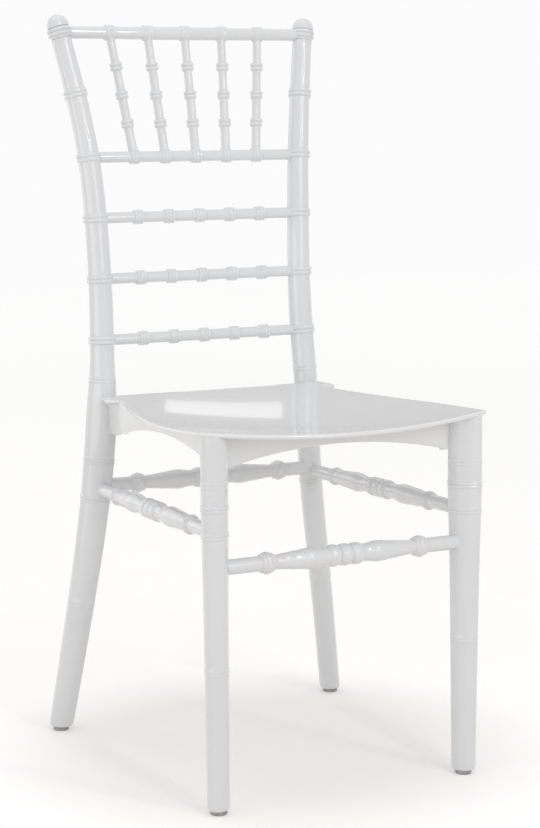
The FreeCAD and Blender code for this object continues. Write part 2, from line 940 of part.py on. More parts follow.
def seat():
    top_face = seat_top_face()
    under = front_apron().fuse(rear_apron())
    for piece in [side_apron(), corner_brace(), back_block()]:
        under = under.fuse([piece, mirrored(piece)])
    for number in range(3):
        y = seat_rib_first_y + seat_rib_spacing * number
        half = side_apron_x(y) - overlap
        under = under.fuse(plan_box(-half, half, y, y + seat_rib_wall, seat_rib_bottom))
    for number in [-1, 0, 1]:
        low_x = seat_rib_spacing * number - seat_rib_wall / 2
        high_x = low_x + seat_rib_wall
        low_y = front_apron_y + overlap
        high_y = rear_apron_y + overlap
        under = under.fuse(plan_box(low_x, high_x, low_y, high_y, seat_rib_bottom))
    space_above = top_face.extrude(UP * blank_reach)
    space_above.translate(UP * -(seat_thickness / 2))
    under = under.cut(space_above)
    whole = seat_plate(top_face).fuse(under)
    leg_room = front_leg_limb(joint_clearance, front_leg_top + end_clearance)
    post_room = post_limb(joint_clearance)
    whole = whole.cut([leg_room, mirrored(leg_room), post_room, mirrored(post_room)])
    for place in [front_bolt_seat(), back_bolt_seat()]:
        for hole in [bolt_hole(place), head_room(place)]:
            whole = whole.cut([hole, mirrored(hole)])
    return whole


def both_sides(shapes):
    return Part.makeCompound(shapes + [mirrored(shape) for shape in shapes])


corner_seats = [front_bolt_seat(), back_bolt_seat()]
left_leg = front_leg()
left_post = back_post()
left_side_stretcher = side_stretcher()
left_feet = [front_leg_place(glide_height)[0], post_place(glide_height)[0]]

nodes = {
    "seat": seat(),
    "front_leg_left": left_leg,
    "front_leg_right": mirrored(left_leg),
    "back_post_left": left_post,
    "back_post_right": mirrored(left_post),
    "crest_rail": crest_rail(),
    "panel_rail": panel_rail(),
    "front_stretcher": end_stretcher(front_stretcher_end()),
    "rear_stretcher": end_stretcher(rear_stretcher_end()),
    "side_stretcher_left": left_side_stretcher,
    "side_stretcher_right": mirrored(left_side_stretcher),
    "floor_glides": both_sides([glide(place) for place in left_feet]),
    "corner_bolts": both_sides([bolt(place) for place in corner_seats]),
    "threaded_inserts": both_sides([insert(place) for place in corner_seats]),
}
for name, height in slat_heights.items():
    nodes["slat_" + name] = back_rail(height)
for number in range(spindle_count):
    nodes["spindle_" + str(number + 1)] = spindle(number)

# Centre the chair over the origin
front_edge = nodes["seat"].optimalBoundingBox().YMin
back_edge = nodes["back_post_left"].optimalBoundingBox().YMax
for name, shape in nodes.items():
    shape.translate(Vector(0, -(front_edge + back_edge) / 2, 0))
    shape.exportStep("parts/" + name + ".step")
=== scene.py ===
from math import cos, hypot, pi, radians, sin, sqrt

import bmesh
import bpy
import numpy as np
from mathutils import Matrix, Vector


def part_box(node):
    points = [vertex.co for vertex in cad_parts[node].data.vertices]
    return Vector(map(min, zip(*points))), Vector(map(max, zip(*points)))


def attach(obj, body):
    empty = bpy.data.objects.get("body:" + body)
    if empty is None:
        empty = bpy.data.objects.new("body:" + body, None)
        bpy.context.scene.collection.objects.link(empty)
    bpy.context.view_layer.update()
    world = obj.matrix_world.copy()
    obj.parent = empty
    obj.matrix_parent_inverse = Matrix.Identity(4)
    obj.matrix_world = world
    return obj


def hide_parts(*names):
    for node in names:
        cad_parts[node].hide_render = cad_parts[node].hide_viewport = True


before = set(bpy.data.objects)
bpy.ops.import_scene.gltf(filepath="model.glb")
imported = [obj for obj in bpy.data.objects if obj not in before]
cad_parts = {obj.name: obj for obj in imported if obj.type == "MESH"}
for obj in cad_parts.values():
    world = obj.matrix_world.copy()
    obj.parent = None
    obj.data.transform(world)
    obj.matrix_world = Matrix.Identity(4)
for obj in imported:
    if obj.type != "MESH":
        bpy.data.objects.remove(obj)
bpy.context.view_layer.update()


# Front legs
# Two straight legs moulded in glossy white resin. Their section is an oval that points at the
# chair's outer corner, swelling from the foot to the seat, with fine turned rings under the seat.

MM = 0.001
SIDES = {"left": 1, "right": -1}
# Places are in millimetres from the middle of the line between the front feet, on the floor.
# The seat's front lip lies ahead of that line, and its box gives the line's place in the frame.
FRONT_EDGE_Y = -30.0
FEET_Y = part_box("seat")[0].y - FRONT_EDGE_Y * MM


def to_frame(point, side=1):
    """A point of the left half of the chair in the frame, or its mirror image on the right."""
    return Vector((point.x * side * MM, point.y * MM + FEET_Y, point.z * MM))


def ring(centre, long_way, short_way, side=1):
    """The centre and the two half axes of an oval section, in the frame."""
    ways = [Vector((way.x * side, way.y, way.z)) * MM for way in (long_way, short_way)]
    return [to_frame(centre, side), *ways]


class Wire:
    """A node's output that Python arithmetic can use: each operation adds a Math node."""

    def __init__(self, nodes, socket):
        self.nodes = nodes
        self.socket = socket

    def math(self, operation, other):
        return self.nodes.add("ShaderNodeMath", {"operation": operation}, {0: self, 1: other})

    def __add__(self, other):
        return self.math("ADD", other)

    def __mul__(self, other):
        return self.math("MULTIPLY", other)

    __radd__ = __add__
    __rmul__ = __mul__


class Nodes:
    """A node tree that is built with one method for every kind of node."""

    def __init__(self, tree):
        self.tree = tree

    def add(self, kind, settings, inputs, output=0):
        node = self.tree.nodes.new(kind)
        for name, value in settings.items():
            setattr(node, name, value)
        for name, value in inputs.items():
            self.join(node.inputs[name], value)
        return Wire(self, node.outputs[output])

    def join(self, socket, value):
        """Links a wire to a socket, or sets the socket's own number or colour."""
        if isinstance(value, Wire):
            self.tree.links.new(value.socket, socket)
        elif isinstance(value, tuple):
            socket.default_value = (*value, 1.0)
        else:
            socket.default_value = value


class Finish(Nodes):
    """A procedural material with one Principled surface."""

    def __init__(self, name):
        self.material = bpy.data.materials.new(name)
        self.material.use_nodes = True
        super().__init__(self.material.node_tree)
        self.surface = self.tree.nodes["Principled BSDF"]
        self.place = self.add("ShaderNodeTexCoord", {}, {}, "Object")

    def noise(self, scale, detail):
        inputs = {"Vector": self.place, "Scale": scale, "Detail": detail}
        return self.add("ShaderNodeTexNoise", {}, inputs, "Fac")

    def ramp(self, low, high, value):
        """Goes from 0 to 1 while a value goes from low to high."""
        return self.add("ShaderNodeMapRange", {}, {"Value": value, "From Min": low, "From Max": high})

    def mix(self, share, first, second):
        """Goes from the first colour to the second as the share goes from 0 to 1."""
        return self.add("ShaderNodeMix", {"data_type": "RGBA"}, {0: share, 6: first, 7: second}, 2)

    def bump(self, height, distance):
        return self.add("ShaderNodeBump", {}, {"Height": height, "Distance": distance})

    def apply(self, **values):
        for name, value in values.items():
            self.join(self.surface.inputs[name.replace("_", " ")], value)
        return self.material


def white_resin(name, colour, shade, gloss):
    """Moulded resin: an even gloss with faint flow marks, light wear and a trace of dust."""
    look = Finish(name)
    flow = look.ramp(0.35, 0.65, look.noise(scale=9.0, detail=3.0))
    dust = look.ramp(0.70, 0.76, look.noise(scale=420.0, detail=1.0))
    wear = look.ramp(0.45, 0.75, look.noise(scale=65.0, detail=6.0))
    ripple = look.noise(scale=38.0, detail=1.0)
    grain = look.noise(scale=900.0, detail=2.0)
    return look.apply(
        Base_Color=look.mix(0.6 * flow + 0.15 * dust, colour, shade),
        Roughness=gloss + 0.05 * wear + 0.03 * flow,
        Normal=look.bump(ripple + 0.06 * grain, distance=0.06 * MM),
        IOR=1.49,
        Coat_Weight=0.7,
        Coat_Roughness=0.035,
    )


LEG_RESIN = white_resin("leg_resin", colour=(0.80, 0.81, 0.83), shade=(0.76, 0.77, 0.80), gloss=0.10)


def dress(node, material):
    """Gives a CAD node the material, in each of its slots."""
    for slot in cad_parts[node].material_slots:
        slot.material = material


def skin(name, points, faces, node, material, sharp_from=50.0):
    """A smooth-shaded piece that stands for a CAD node and rides with the chair."""
    mesh = bpy.data.meshes.new(name)
    mesh.from_pydata(points, [], faces)
    shell = bmesh.new()
    shell.from_mesh(mesh)
    bmesh.ops.recalc_face_normals(shell, faces=shell.faces)
    shell.to_mesh(mesh)
    shell.free()
    mesh.shade_smooth()
    mesh.set_sharp_from_angle(angle=radians(sharp_from))
    mesh.materials.append(material)
    piece = bpy.data.objects.new(name, mesh)
    bpy.context.scene.collection.objects.link(piece)
    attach(piece, "root")
    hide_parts(node)
    dress(node, material)
    return piece


def closed_rows(rows, sides):
    """Faces between rows of points that each run round a piece, with a cap at both ends."""
    faces = []
    for row in range(rows - 1):
        for side in range(sides):
            here = row * sides + side
            beside = row * sides + (side + 1) % sides
            faces.append((here, beside, beside + sides, here + sides))
    last_row = (rows - 1) * sides
    faces.append(tuple(reversed(range(sides))))
    faces.append(tuple(range(last_row, last_row + sides)))
    return faces


def tube(name, rings, node, material, sides):
    """A closed skin through oval sections."""
    turn = np.linspace(0, 2 * pi, sides, endpoint=False)[:, None]
    rows = []
    for centre, long_way, short_way in rings:
        oval = np.cos(turn) * np.array(long_way) + np.sin(turn) * np.array(short_way)
        rows.append(np.array(centre) + oval)
    points = np.concatenate(rows).tolist()
    return skin(name, points, closed_rows(len(rings), sides), node, material)


def places(start, end, detail, coarse, fine):
    """Places along a piece: close together in the stretches with detail, far apart elsewhere."""
    marks = set(np.linspace(start, end, max(2, int((end - start) / coarse))).tolist())
    for low, high in detail:
        low, high = max(low, start), min(high, end)
        if high > low:
            marks.update(np.linspace(low, high, max(3, int((high - low) / fine))).tolist())
    closest = 0.4 * fine
    kept = [start]
    for mark in sorted(marks):
        if mark - kept[-1] > closest:
            kept.append(mark)
    kept[-1] = end
    return kept


def between(at, stations):
    """A value that goes in straight steps between (place, value) stations."""
    spots, values = zip(*stations)
    return float(np.interp(at, spots, values))


def bead(at, middle, width, rise):
    """Height of a round bead at a place along a turned piece."""
    reach = (at - middle) / (width / 2)
    return rise * sqrt(max(0.0, 1 - reach * reach))


FINE_BEAD_PITCH = 4.0
FINE_BEAD_WIDTH = 3.4


def fine_rings(at, rings):
    """Height of the fine rings, each two beads side by side at its (height, rise)."""
    total = 0.0
    for height, rise in rings:
        for middle in (height - FINE_BEAD_PITCH / 2, height + FINE_BEAD_PITCH / 2):
            total += bead(at, middle, FINE_BEAD_WIDTH, rise)
    return total


# The glides lift the feet this far, and each foot's edge is rounded above them.
FOOT_HEIGHT = 5.0
FOOT_EDGE_HEIGHT = 4.0
FOOT_EDGE_INSET = 3.0


def foot_inset(at):
    """How much the rounded edge of a foot draws in, just above the glide."""
    left = (FOOT_HEIGHT + FOOT_EDGE_HEIGHT - at) / FOOT_EDGE_HEIGHT
    left = min(1.0, max(0.0, left))
    return FOOT_EDGE_INSET * (1 - sqrt(1 - left * left))


# The seat's plate: its edge rises a little to the rear, the front corners lift, and the middle
# is dished.
PLATE = 5.5
FRONT_EDGE_HEIGHT = 436.0
REAR_RISE = 3.5
CORNER_LIFT = 11.2
CORNER_X = 183.0
SEAT_LENGTH = 380.0
DISH_DEPTH = 9.0
DISH_Y = 160.0
DISH_RADIUS = 195.0


def seat_top(x, y):
    """Height of the seat's upper surface at a place in plan."""
    rear = (y - FRONT_EDGE_Y) / SEAT_LENGTH
    lift = CORNER_LIFT * (1 - rear) ** 4 * (x / CORNER_X) ** 2
    dish = DISH_DEPTH * (1 - (x / DISH_RADIUS) ** 2) * (1 - ((y - DISH_Y) / DISH_RADIUS) ** 2)
    return FRONT_EDGE_HEIGHT + REAR_RISE * rear + lift - dish


# The oval section's (height, width) along and across the diagonal of the seat's corner.
FRONT_LONG = [(5, 29.6), (245, 36.0), (350, 41.4), (440, 41.4)]
FRONT_SHORT = [(5, 25.6), (245, 28.0), (350, 30.0), (440, 30.0)]
# The fine rings' (height, rise), and the stretches that hold them and the foot's edge.
FRONT_RINGS = [(356, 0.75), (325, 0.75), (383, 0.35), (168, 0.35)]
FRONT_DETAIL = [(5, 9.5), (164, 172), (320, 330), (351, 361), (378, 388)]
FRONT_FOOT_X = 165.5
# From the floor to its top, the leg leans out and back by this much.
LEG_TOP = 437.0
LEG_LEAN_OUT = 1.0
LEG_LEAN_BACK = 8.0
# The seat plate cuts the leg off below this height.
LEG_END = 446.0
LIMB_SIDES = 64


def front_leg(hand):
    corner_angle = radians(45)
    outward = Vector((cos(corner_angle), -sin(corner_angle), 0))
    sideways = Vector((sin(corner_angle), cos(corner_angle), 0))
    rings = []
    for at in places(FOOT_HEIGHT, LEG_END, FRONT_DETAIL, coarse=8.0, fine=0.4):
        share = at / LEG_TOP
        centre = Vector((FRONT_FOOT_X + LEG_LEAN_OUT * share, LEG_LEAN_BACK * share, at))
        rise = fine_rings(at, FRONT_RINGS) - foot_inset(at)
        long_way = outward * (between(at, FRONT_LONG) / 2 + rise)
        short_way = sideways * (between(at, FRONT_SHORT) / 2 + rise)
        rings.append(ring(centre, long_way, short_way, SIDES[hand]))
    leg = tube("turned_leg_" + hand, rings, "front_leg_" + hand, LEG_RESIN, LIMB_SIDES)
    # The top of the leg follows the underside of the seat plate, half way into it.
    for vertex in leg.data.vertices:
        plate = seat_top(vertex.co.x / MM, (vertex.co.y - FEET_Y) / MM) - PLATE / 2
        vertex.co.z = min(vertex.co.z, plate * MM)


for hand in SIDES:
    front_leg(hand)


# Back posts
# Each post is one resin moulding from the floor to the finial: a splayed back leg of oval section
# that turns round above the seat and leans back, with a double ring level with every rail.

# Heights of the bars between the posts, each with a ring on the posts, and of one ring without.
SLAT_HEIGHTS = {"low": 506.5, "middle": 583.9, "high": 660.5}
PANEL_HEIGHT = 736.5
CREST_HEIGHT = 892.8
BARE_RING_HEIGHT = 816.0
POST_RINGS = [*SLAT_HEIGHTS.values(), PANEL_HEIGHT, BARE_RING_HEIGHT]
# Points on the middle line of the left post.
POST_LINE = [
    (200.0, 396.5, 0.0),
    (176.0, 382.0, 163.0),
    (153.5, 373.0, 337.0),
    (147.0, 371.5, 436.0),
    (143.6, 377.5, 506.5),
    (144.9, 390.5, 660.5),
    (149.8, 399.8, 736.5),
    (173.6, 432.8, 892.8),
]
POST_LONG = [(5, 31.4), (345, 40.6), (415, 40.6), (480, 31.2), (892.8, 25.0)]
POST_SHORT = [(5, 27.4), (345, 30.2), (415, 30.2), (480, 31.2), (892.8, 25.0)]
POST_FINE_RINGS = [(354, 0.8), (304, 0.8), (457, 0.6), (168, 0.35)]
POST_DETAIL = [(5, 9.5), (164, 172), (299, 309), (349, 359), (452, 462)]
POST_DETAIL += [(height - 7, height + 7) for height in POST_RINGS]
RING_WIDTH = 11.0
POST_RING_RISE = 2.2
# Sections are level up to here, so that the foot stands flat, and square to the post above.
LEVEL_HEIGHT = 12.0
# The crest ring and the finial begin here.
POST_END = 884.0


def smooth_curve(line):
    """A natural cubic curve through points, as a function of height: gives x, y and slopes."""
    knots = np.array(line)
    z = knots[:, 2]
    steps = np.diff(z)
    count = len(z)
    system = np.eye(count)
    bends = np.zeros((count, 2))
    for row in range(1, count - 1):
        before, after = steps[row - 1], steps[row]
        system[row, row - 1 : row + 2] = before, 2 * (before + after), after
        rise = (knots[row + 1, :2] - knots[row, :2]) / after
        fall = (knots[row, :2] - knots[row - 1, :2]) / before
        bends[row] = 6 * (rise - fall)
    bends = np.linalg.solve(system, bends)

    def at_height(height):
        row = int(np.clip(np.searchsorted(z, height) - 1, 0, count - 2))
        step = steps[row]
        b = (height - z[row]) / step
        a = 1 - b
        start, end = knots[row, :2], knots[row + 1, :2]
        curve = ((a**3 - a) * bends[row] + (b**3 - b) * bends[row + 1]) * step**2 / 6
        turn = ((3 * b * b - 1) * bends[row + 1] - (3 * a * a - 1) * bends[row]) * step / 6
        return a * start + b * end + curve, (end - start) / step + turn

    return at_height


post_curve = smooth_curve(POST_LINE)


def post_place(height):
    """Centre of the left post at a height, and the direction of its middle line."""
    (x, y), (slope_x, slope_y) = post_curve(height)
    return Vector((x, y, height)), Vector((slope_x, slope_y, 1)).normalized()


def flat_bead(at, middle, width, steepness):
    """Height, up to 1, of a bead with a flat top and edges as steep as asked."""
    return min(1.0, steepness * bead(at, middle, width, 1.0))


def double_ring(at, middle, width, rise):
    """A turned ring: a low flat band with two beads on it."""
    band_rise = 0.45 * rise
    bead_rise = 0.55 * rise
    bead_width = 0.44 * width
    bead_shift = 0.24 * width
    height = band_rise * flat_bead(at, middle, width, 1.8)
    for shift in (-bead_shift, bead_shift):
        height += bead(at, middle + shift, bead_width, bead_rise)
    return height


def post_ring(centre, axis, at, rise, side):
    """A section of the post, its long way pointing at the chair's back corner."""
    upward = axis if at > LEVEL_HEIGHT else Vector((0, 0, 1))
    corner = Vector((1, 1, 0)).normalized()
    along = (corner - upward * corner.dot(upward)).normalized()
    across = upward.cross(along)
    long_way = along * (between(at, POST_LONG) / 2 + rise)
    short_way = across * (between(at, POST_SHORT) / 2 + rise)
    return ring(centre, long_way, short_way, side)


def round_ring(centre, axis, radius, side=1):
    """A round section square to an axis."""
    near_y = abs(axis.y) > 0.9
    aside = Vector((1, 0, 0)) if near_y else Vector((0, 1, 0))
    along = (aside - axis * aside.dot(axis)).normalized() * radius
    return ring(centre, along, axis.cross(along), side)


# The neck with the crest ring, and the dome above it, along the post from the crest rail's level.
NECK = np.linspace(-8.0, 5.6, 36)
NECK_RADIUS = 12.5
CREST_RING_MIDDLE = 0.1
CREST_RING_RISE = 3.0
CREST_RING_RADIUS = 15.5
DOME_MIDDLE = 8.2
DOME_RADIUS = 14.15
DOME_ANGLES = np.linspace(radians(-8), radians(89.5), 28)


def finial_profile():
    """(along, radius) up over the crest ring and the dome."""
    profile = []
    for at in NECK:
        radius = NECK_RADIUS + double_ring(at, CREST_RING_MIDDLE, RING_WIDTH, CREST_RING_RISE)
        profile.append((at, min(radius, CREST_RING_RADIUS)))
    for angle in DOME_ANGLES:
        profile.append((DOME_MIDDLE + DOME_RADIUS * sin(angle), DOME_RADIUS * cos(angle)))
    return profile


def back_post(hand):
    side = SIDES[hand]
    rings = []
    for at in places(FOOT_HEIGHT, POST_END, POST_DETAIL, coarse=8.0, fine=0.45):
        centre, axis = post_place(at)
        rise = fine_rings(at, POST_FINE_RINGS) - foot_inset(at)
        for height in POST_RINGS:
            rise += double_ring(at, height, RING_WIDTH, POST_RING_RISE)
        rings.append(post_ring(centre, axis, at, rise, side))
    centre, axis = post_place(CREST_HEIGHT)
    for at, radius in finial_profile():
        rings.append(round_ring(centre + axis * at, axis, radius, side))
    tube("turned_post_" + hand, rings, "back_post_" + hand, LEG_RESIN, LIMB_SIDES)


for hand in SIDES:
    back_post(hand)


# Rails and slats of the back
# Five turned resin bars run from post to post: the crest rail and the panel rail, which hold the
# spindles, and three slats below. Each has five ring bands and ends in the sockets of the posts.

BAR_RESIN = white_resin("bar_resin", colour=(0.80, 0.81, 0.83), shade=(0.77, 0.78, 0.80), gloss=0.10)
BAND_WIDTH = 14.0
BAND_REACH = 8.0
POST_SOCKET = 8.0
# Each bar's radii in the middle and at its ends. The spindles fan out, so the crest rail's bands
# lie further apart than the others.
CREST_RADII = (8.5, 7.75)
CREST_BAND_RADIUS = 10.2
CREST_PITCH = 52.8
RAIL_RADII = (6.9, 6.9)
RAIL_BAND_RADIUS = 9.4
RAIL_PITCH = 43.5


def turned_bar(name, node, start, end, radius_at, detail, sides, coarse):
    """A turned piece between two points, its radius a function of the distance along it."""
    axis = (end - start).normalized()
    rings = []
    for at in places(0, (end - start).length, detail, coarse, fine=0.4):
        rings.append(round_ring(start + axis * at, axis, radius_at(at)))
    tube(name, rings, node, BAR_RESIN, sides)


def ring_band(at, middle, width, rise):
    """Three beads side by side on a flat band, the middle one the highest."""
    pitch = width / 3
    band_rise = 0.55 * rise
    middle_rise = 0.45 * rise
    outer_rise = 0.35 * rise
    outer_width = 0.9 * pitch
    height = band_rise * flat_bead(at, middle, width, 1.6) + bead(at, middle, pitch, middle_rise)
    for shift in (-pitch, pitch):
        height += bead(at, middle + shift, outer_width, outer_rise)
    return height


def back_bar(name, node, height, radii, band_radius, pitch):
    middle_radius, end_radius = radii
    centre = post_place(height)[0]
    half = centre.x - between(height, POST_LONG) / 2 + POST_SOCKET
    bands = [half + pitch * number for number in range(-2, 3)]

    def radius_at(at):
        out = min(1.0, abs(at - half) / (2 * pitch))
        radius = middle_radius + (end_radius - middle_radius) * out
        for band in bands:
            if abs(at - band) < BAND_REACH:
                radius += ring_band(at, band, BAND_WIDTH, band_radius - radius)
        return radius

    start = Vector((-half, centre.y, height))
    end = Vector((half, centre.y, height))
    detail = [(band - BAND_REACH, band + BAND_REACH) for band in bands]
    turned_bar(name, node, start, end, radius_at, detail, sides=40, coarse=5.0)


def plain_bar(name, node, height):
    back_bar(name, node, height, RAIL_RADII, RAIL_BAND_RADIUS, RAIL_PITCH)


back_bar("crest_bar", "crest_rail", CREST_HEIGHT, CREST_RADII, CREST_BAND_RADIUS, CREST_PITCH)
plain_bar("panel_bar", "panel_rail", PANEL_HEIGHT)
for level, height in SLAT_HEIGHTS.items():
    plain_bar("slat_bar_" + level, "slat_" + level, height)


# Spindles
# Five turned resin spindles fan out from the panel rail to the crest rail. Each has a double ring
# at every quarter of its length and a thinner top, and its ends sit in sockets in the ring bands.

SPINDLE_SOCKET = 3.4
SPINDLE_RADIUS = 5.9
SPINDLE_TAPER = 0.6
SPINDLE_RING_RADIUS = 8.2
SPINDLE_RING_REACH = 6.5


def spindle(number):
    from_middle = number - 3
    low = Vector((from_middle * RAIL_PITCH, post_place(PANEL_HEIGHT)[0].y, PANEL_HEIGHT))
    high = Vector((from_middle * CREST_PITCH, post_place(CREST_HEIGHT)[0].y, CREST_HEIGHT))
    axis = (high - low).normalized()
    start = low + axis * (RAIL_BAND_RADIUS - SPINDLE_SOCKET)
    end = high - axis * (CREST_BAND_RADIUS - SPINDLE_SOCKET)
    length = (end - start).length
    quarters = [length * quarter / 4 for quarter in (1, 2, 3)]

    def radius_at(at):
        radius = SPINDLE_RADIUS - SPINDLE_TAPER * at / length
        rise = SPINDLE_RING_RADIUS - radius
        return radius + sum(double_ring(at, quarter, RING_WIDTH, rise) for quarter in quarters)

    detail = [(quarter - SPINDLE_RING_REACH, quarter + SPINDLE_RING_REACH) for quarter in quarters]
    name = "spindle_%d" % number
    turned_bar("turned_" + name, name, start, end, radius_at, detail, sides=36, coarse=8.0)


for number in range(1, 6):
    spindle(number)


# Stretchers
# Four turned resin stretchers tie the legs together: one between the front legs, one between the
# posts and one on each side. Each has three beads, two swells and two knobs, all in the moulding.

# (distance from the middle, radius) along a half, before the beads and the knob.
CROSS_RADII = [(0, 10.6), (26, 10.6), (45, 12.75), (64, 11.0), (77, 9.7), (88, 8.6), (112, 9.0)]
CROSS_KNOB = {"knob": 101.5, "knob_width": 18.0, "knob_rise": 4.3, "bead_rise": 2.5}
SIDE_RADII = [
    (0, 10.2),
    (24, 10.2),
    (33, 9.9),
    (56, 12.5),
    (80, 11.2),
    (105, 9.75),
    (120, 8.6),
    (180, 8.4),
]
SIDE_KNOB = {"knob": 112.0, "knob_width": 11.0, "knob_rise": 2.6, "bead_rise": 2.2}
BEAD_PITCH = 15.0
BEAD_WIDTH = 14.4
BEAD_REACH = 24.0
KNOB_REACH = 11.0
FRONT_STRETCHER_HALF = 154.3
FRONT_STRETCHER_Y = 5.223
FRONT_STRETCHER_HEIGHT = 286.3
REAR_STRETCHER_HALF = 142.3
REAR_STRETCHER_HEIGHT = 321.6
# The rear stretcher's middle line lies this far in front of the posts'.
REAR_STRETCHER_AHEAD = 8.0
SIDE_FRONT_CENTRE = Vector((163.7, 5.9, 325.0))
SIDE_BACK_HEIGHT = 317.5
SIDE_BACK_INSET = 2.5
# A side stretcher starts this far from the middle lines of its leg and post.
SIDE_START = 12.6


def eased(at, stations):
    """A value that goes in soft steps between (place, value) stations."""
    spots, values = zip(*stations)
    row = max(0, min(len(spots) - 2, int(np.searchsorted(spots, at)) - 1))
    share = min(1.0, max(0.0, (at - spots[row]) / (spots[row + 1] - spots[row])))
    share = share * share * (3 - 2 * share)
    return values[row] + (values[row + 1] - values[row]) * share


def stretcher_radius(out, stations, knob, knob_width, knob_rise, bead_rise):
    """Radius at a distance from the stretcher's middle."""
    radius = eased(out, stations)
    for number in (-1, 0, 1):
        radius += bead(out, number * BEAD_PITCH, BEAD_WIDTH, bead_rise)
    # The knob is a low flat band with a lip at both edges and a high round core.
    band_rise = 0.45 * knob_rise
    lip_rise = 0.6 * knob_rise
    lip_width = 0.3 * knob_width
    lip_shift = 0.33 * knob_width
    core_width = 0.62 * knob_width
    band = band_rise * flat_bead(out, knob, knob_width, 1.3)
    lips = [bead(out, knob + shift, lip_width, lip_rise) for shift in (-lip_shift, lip_shift)]
    return radius + max(band, *lips, bead(out, knob, core_width, knob_rise))


def stretcher(name, start, end, stations, shape):
    half = (end - start).length / 2
    knobs = (half - shape["knob"], half + shape["knob"])
    detail = [(half - BEAD_REACH, half + BEAD_REACH)]
    detail += [(knob - KNOB_REACH, knob + KNOB_REACH) for knob in knobs]

    def radius_at(at):
        return stretcher_radius(abs(at - half), stations, **shape)

    turned_bar("turned_" + name, name, start, end, radius_at, detail, sides=48, coarse=3.0)


def cross_stretcher(name, half, y, height):
    ends = [Vector((x, y, height)) for x in (-half, half)]
    stretcher(name, *ends, CROSS_RADII, CROSS_KNOB)


def side_stretcher(hand):
    back_centre = post_place(SIDE_BACK_HEIGHT)[0] - Vector((SIDE_BACK_INSET, 0, 0))
    axis = (back_centre - SIDE_FRONT_CENTRE).normalized()
    ends = [SIDE_FRONT_CENTRE + axis * SIDE_START, back_centre - axis * SIDE_START]
    for end in ends:
        end.x *= SIDES[hand]
    stretcher("side_stretcher_" + hand, *ends, SIDE_RADII, SIDE_KNOB)


rear_y = post_place(REAR_STRETCHER_HEIGHT)[0].y - REAR_STRETCHER_AHEAD
cross_stretcher("front_stretcher", FRONT_STRETCHER_HALF, FRONT_STRETCHER_Y, FRONT_STRETCHER_HEIGHT)
cross_stretcher("rear_stretcher", REAR_STRETCHER_HALF, rear_y, REAR_STRETCHER_HEIGHT)
for hand in SIDES:
    side_stretcher(hand)


# Seat
# One glossy moulding: a thin dished plate with a round lip and lifted front corners, over arched
# aprons that reach the legs and posts, with ribs and bolted corner walls underneath.

SEAT_RESIN = white_resin("seat_resin", colour=(0.85, 0.855, 0.87), shade=(0.82, 0.825, 0.84), gloss=0.08)
# Each arc of the outline's left half: three points in plan, and how many it is drawn with.
SEAT_ARCS = [
    ((0, FRONT_EDGE_Y), (91.5, -24.66), (CORNER_X, -8.4), 44),
    ((CORNER_X, -8.4), (187.8, -5.4), (189.5, 0), 12),
    ((189.5, 0), (194, 60), (189, 130), 40),
    ((189, 130), (170, 220), (148, 300), 48),
]
BACK_CORNER = (145.0, 350.0)
WAIST_POINTS = 16
BACK_POINTS = 60
PLATE_MIDDLE = (0.0, 150.0)
FLAT_ROWS = 34
LIP_ROWS = 9


def arc_through(start, middle, end, count):
    """Points on the circular arc through three plan points, without the last one."""
    (ax, ay), (bx, by), (cx, cy) = start, middle, end
    double_area = 2 * (ax * (by - cy) + bx * (cy - ay) + cx * (ay - by))
    squares = (ax * ax + ay * ay, bx * bx + by * by, cx * cx + cy * cy)
    x = (squares[0] * (by - cy) + squares[1] * (cy - ay) + squares[2] * (ay - by)) / double_area
    y = (squares[0] * (cx - bx) + squares[1] * (ax - cx) + squares[2] * (bx - ax)) / double_area
    radius = hypot(ax - x, ay - y)
    turns = np.unwrap([np.arctan2(p[1] - y, p[0] - x) for p in (start, middle, end)])
    spread = np.linspace(turns[0], turns[2], count, endpoint=False)
    return [np.array((x + radius * cos(turn), y + radius * sin(turn))) for turn in spread]


def seat_outline():
    """The plan outline, anticlockwise from the middle of the front."""
    left = []
    for start, middle, end, count in SEAT_ARCS:
        left += arc_through(start, middle, end, count)
    waist = np.array(SEAT_ARCS[-1][2])
    corner = np.array(BACK_CORNER)
    # The straight waist stops just short of the corner, where the back edge begins.
    left += [waist + (corner - waist) * share for share in np.linspace(0, 0.96, WAIST_POINTS)]
    back = [corner * (x, 1) for x in np.linspace(1, -1, BACK_POINTS)]
    right = [point * (-1, 1) for point in reversed(left[1:])]
    return np.array(left + back + right)


def seat_plate():
    outline = seat_outline()
    # Two passes of smoothing round the corners a little.
    for _ in range(2):
        outline = 0.5 * outline + 0.25 * (np.roll(outline, 1, 0) + np.roll(outline, -1, 0))
    ahead = np.roll(outline, -1, 0) - np.roll(outline, 1, 0)
    outward = np.stack([ahead[:, 1], -ahead[:, 0]], 1)
    outward /= np.linalg.norm(outward, axis=1)[:, None]
    middle = np.array(PLATE_MIDDLE)
    half = PLATE / 2
    # Rows run from the middle of the top out to the round lip and back in underneath.
    shares = np.linspace(0.02, 1.0, FLAT_ROWS)
    flat = outline - outward * half - middle
    rows = [(middle + flat * share, 0.0) for share in shares]
    for turn in np.linspace(0.1 * pi, 0.9 * pi, LIP_ROWS):
        rows.append((outline - outward * half * (1 - sin(turn)), half * (1 - cos(turn))))
    rows += [(middle + flat * share, PLATE) for share in reversed(shares)]
    points = []
    for plan, drop in rows:
        points += [to_frame(Vector((x, y, seat_top(x, y) - drop))) for x, y in plan]
    faces = closed_rows(len(rows), len(outline))
    skin("seat_shell", points, faces, "seat", SEAT_RESIN, sharp_from=60.0)


TAB_CORNERS = [(140, 317), (163, 321.5), (157.5, 350), (140, 350)]
TAB_INWARD = [(1, 1), (-1, 1), (-1, -1), (1, -1)]
TAB_ROWS = 9


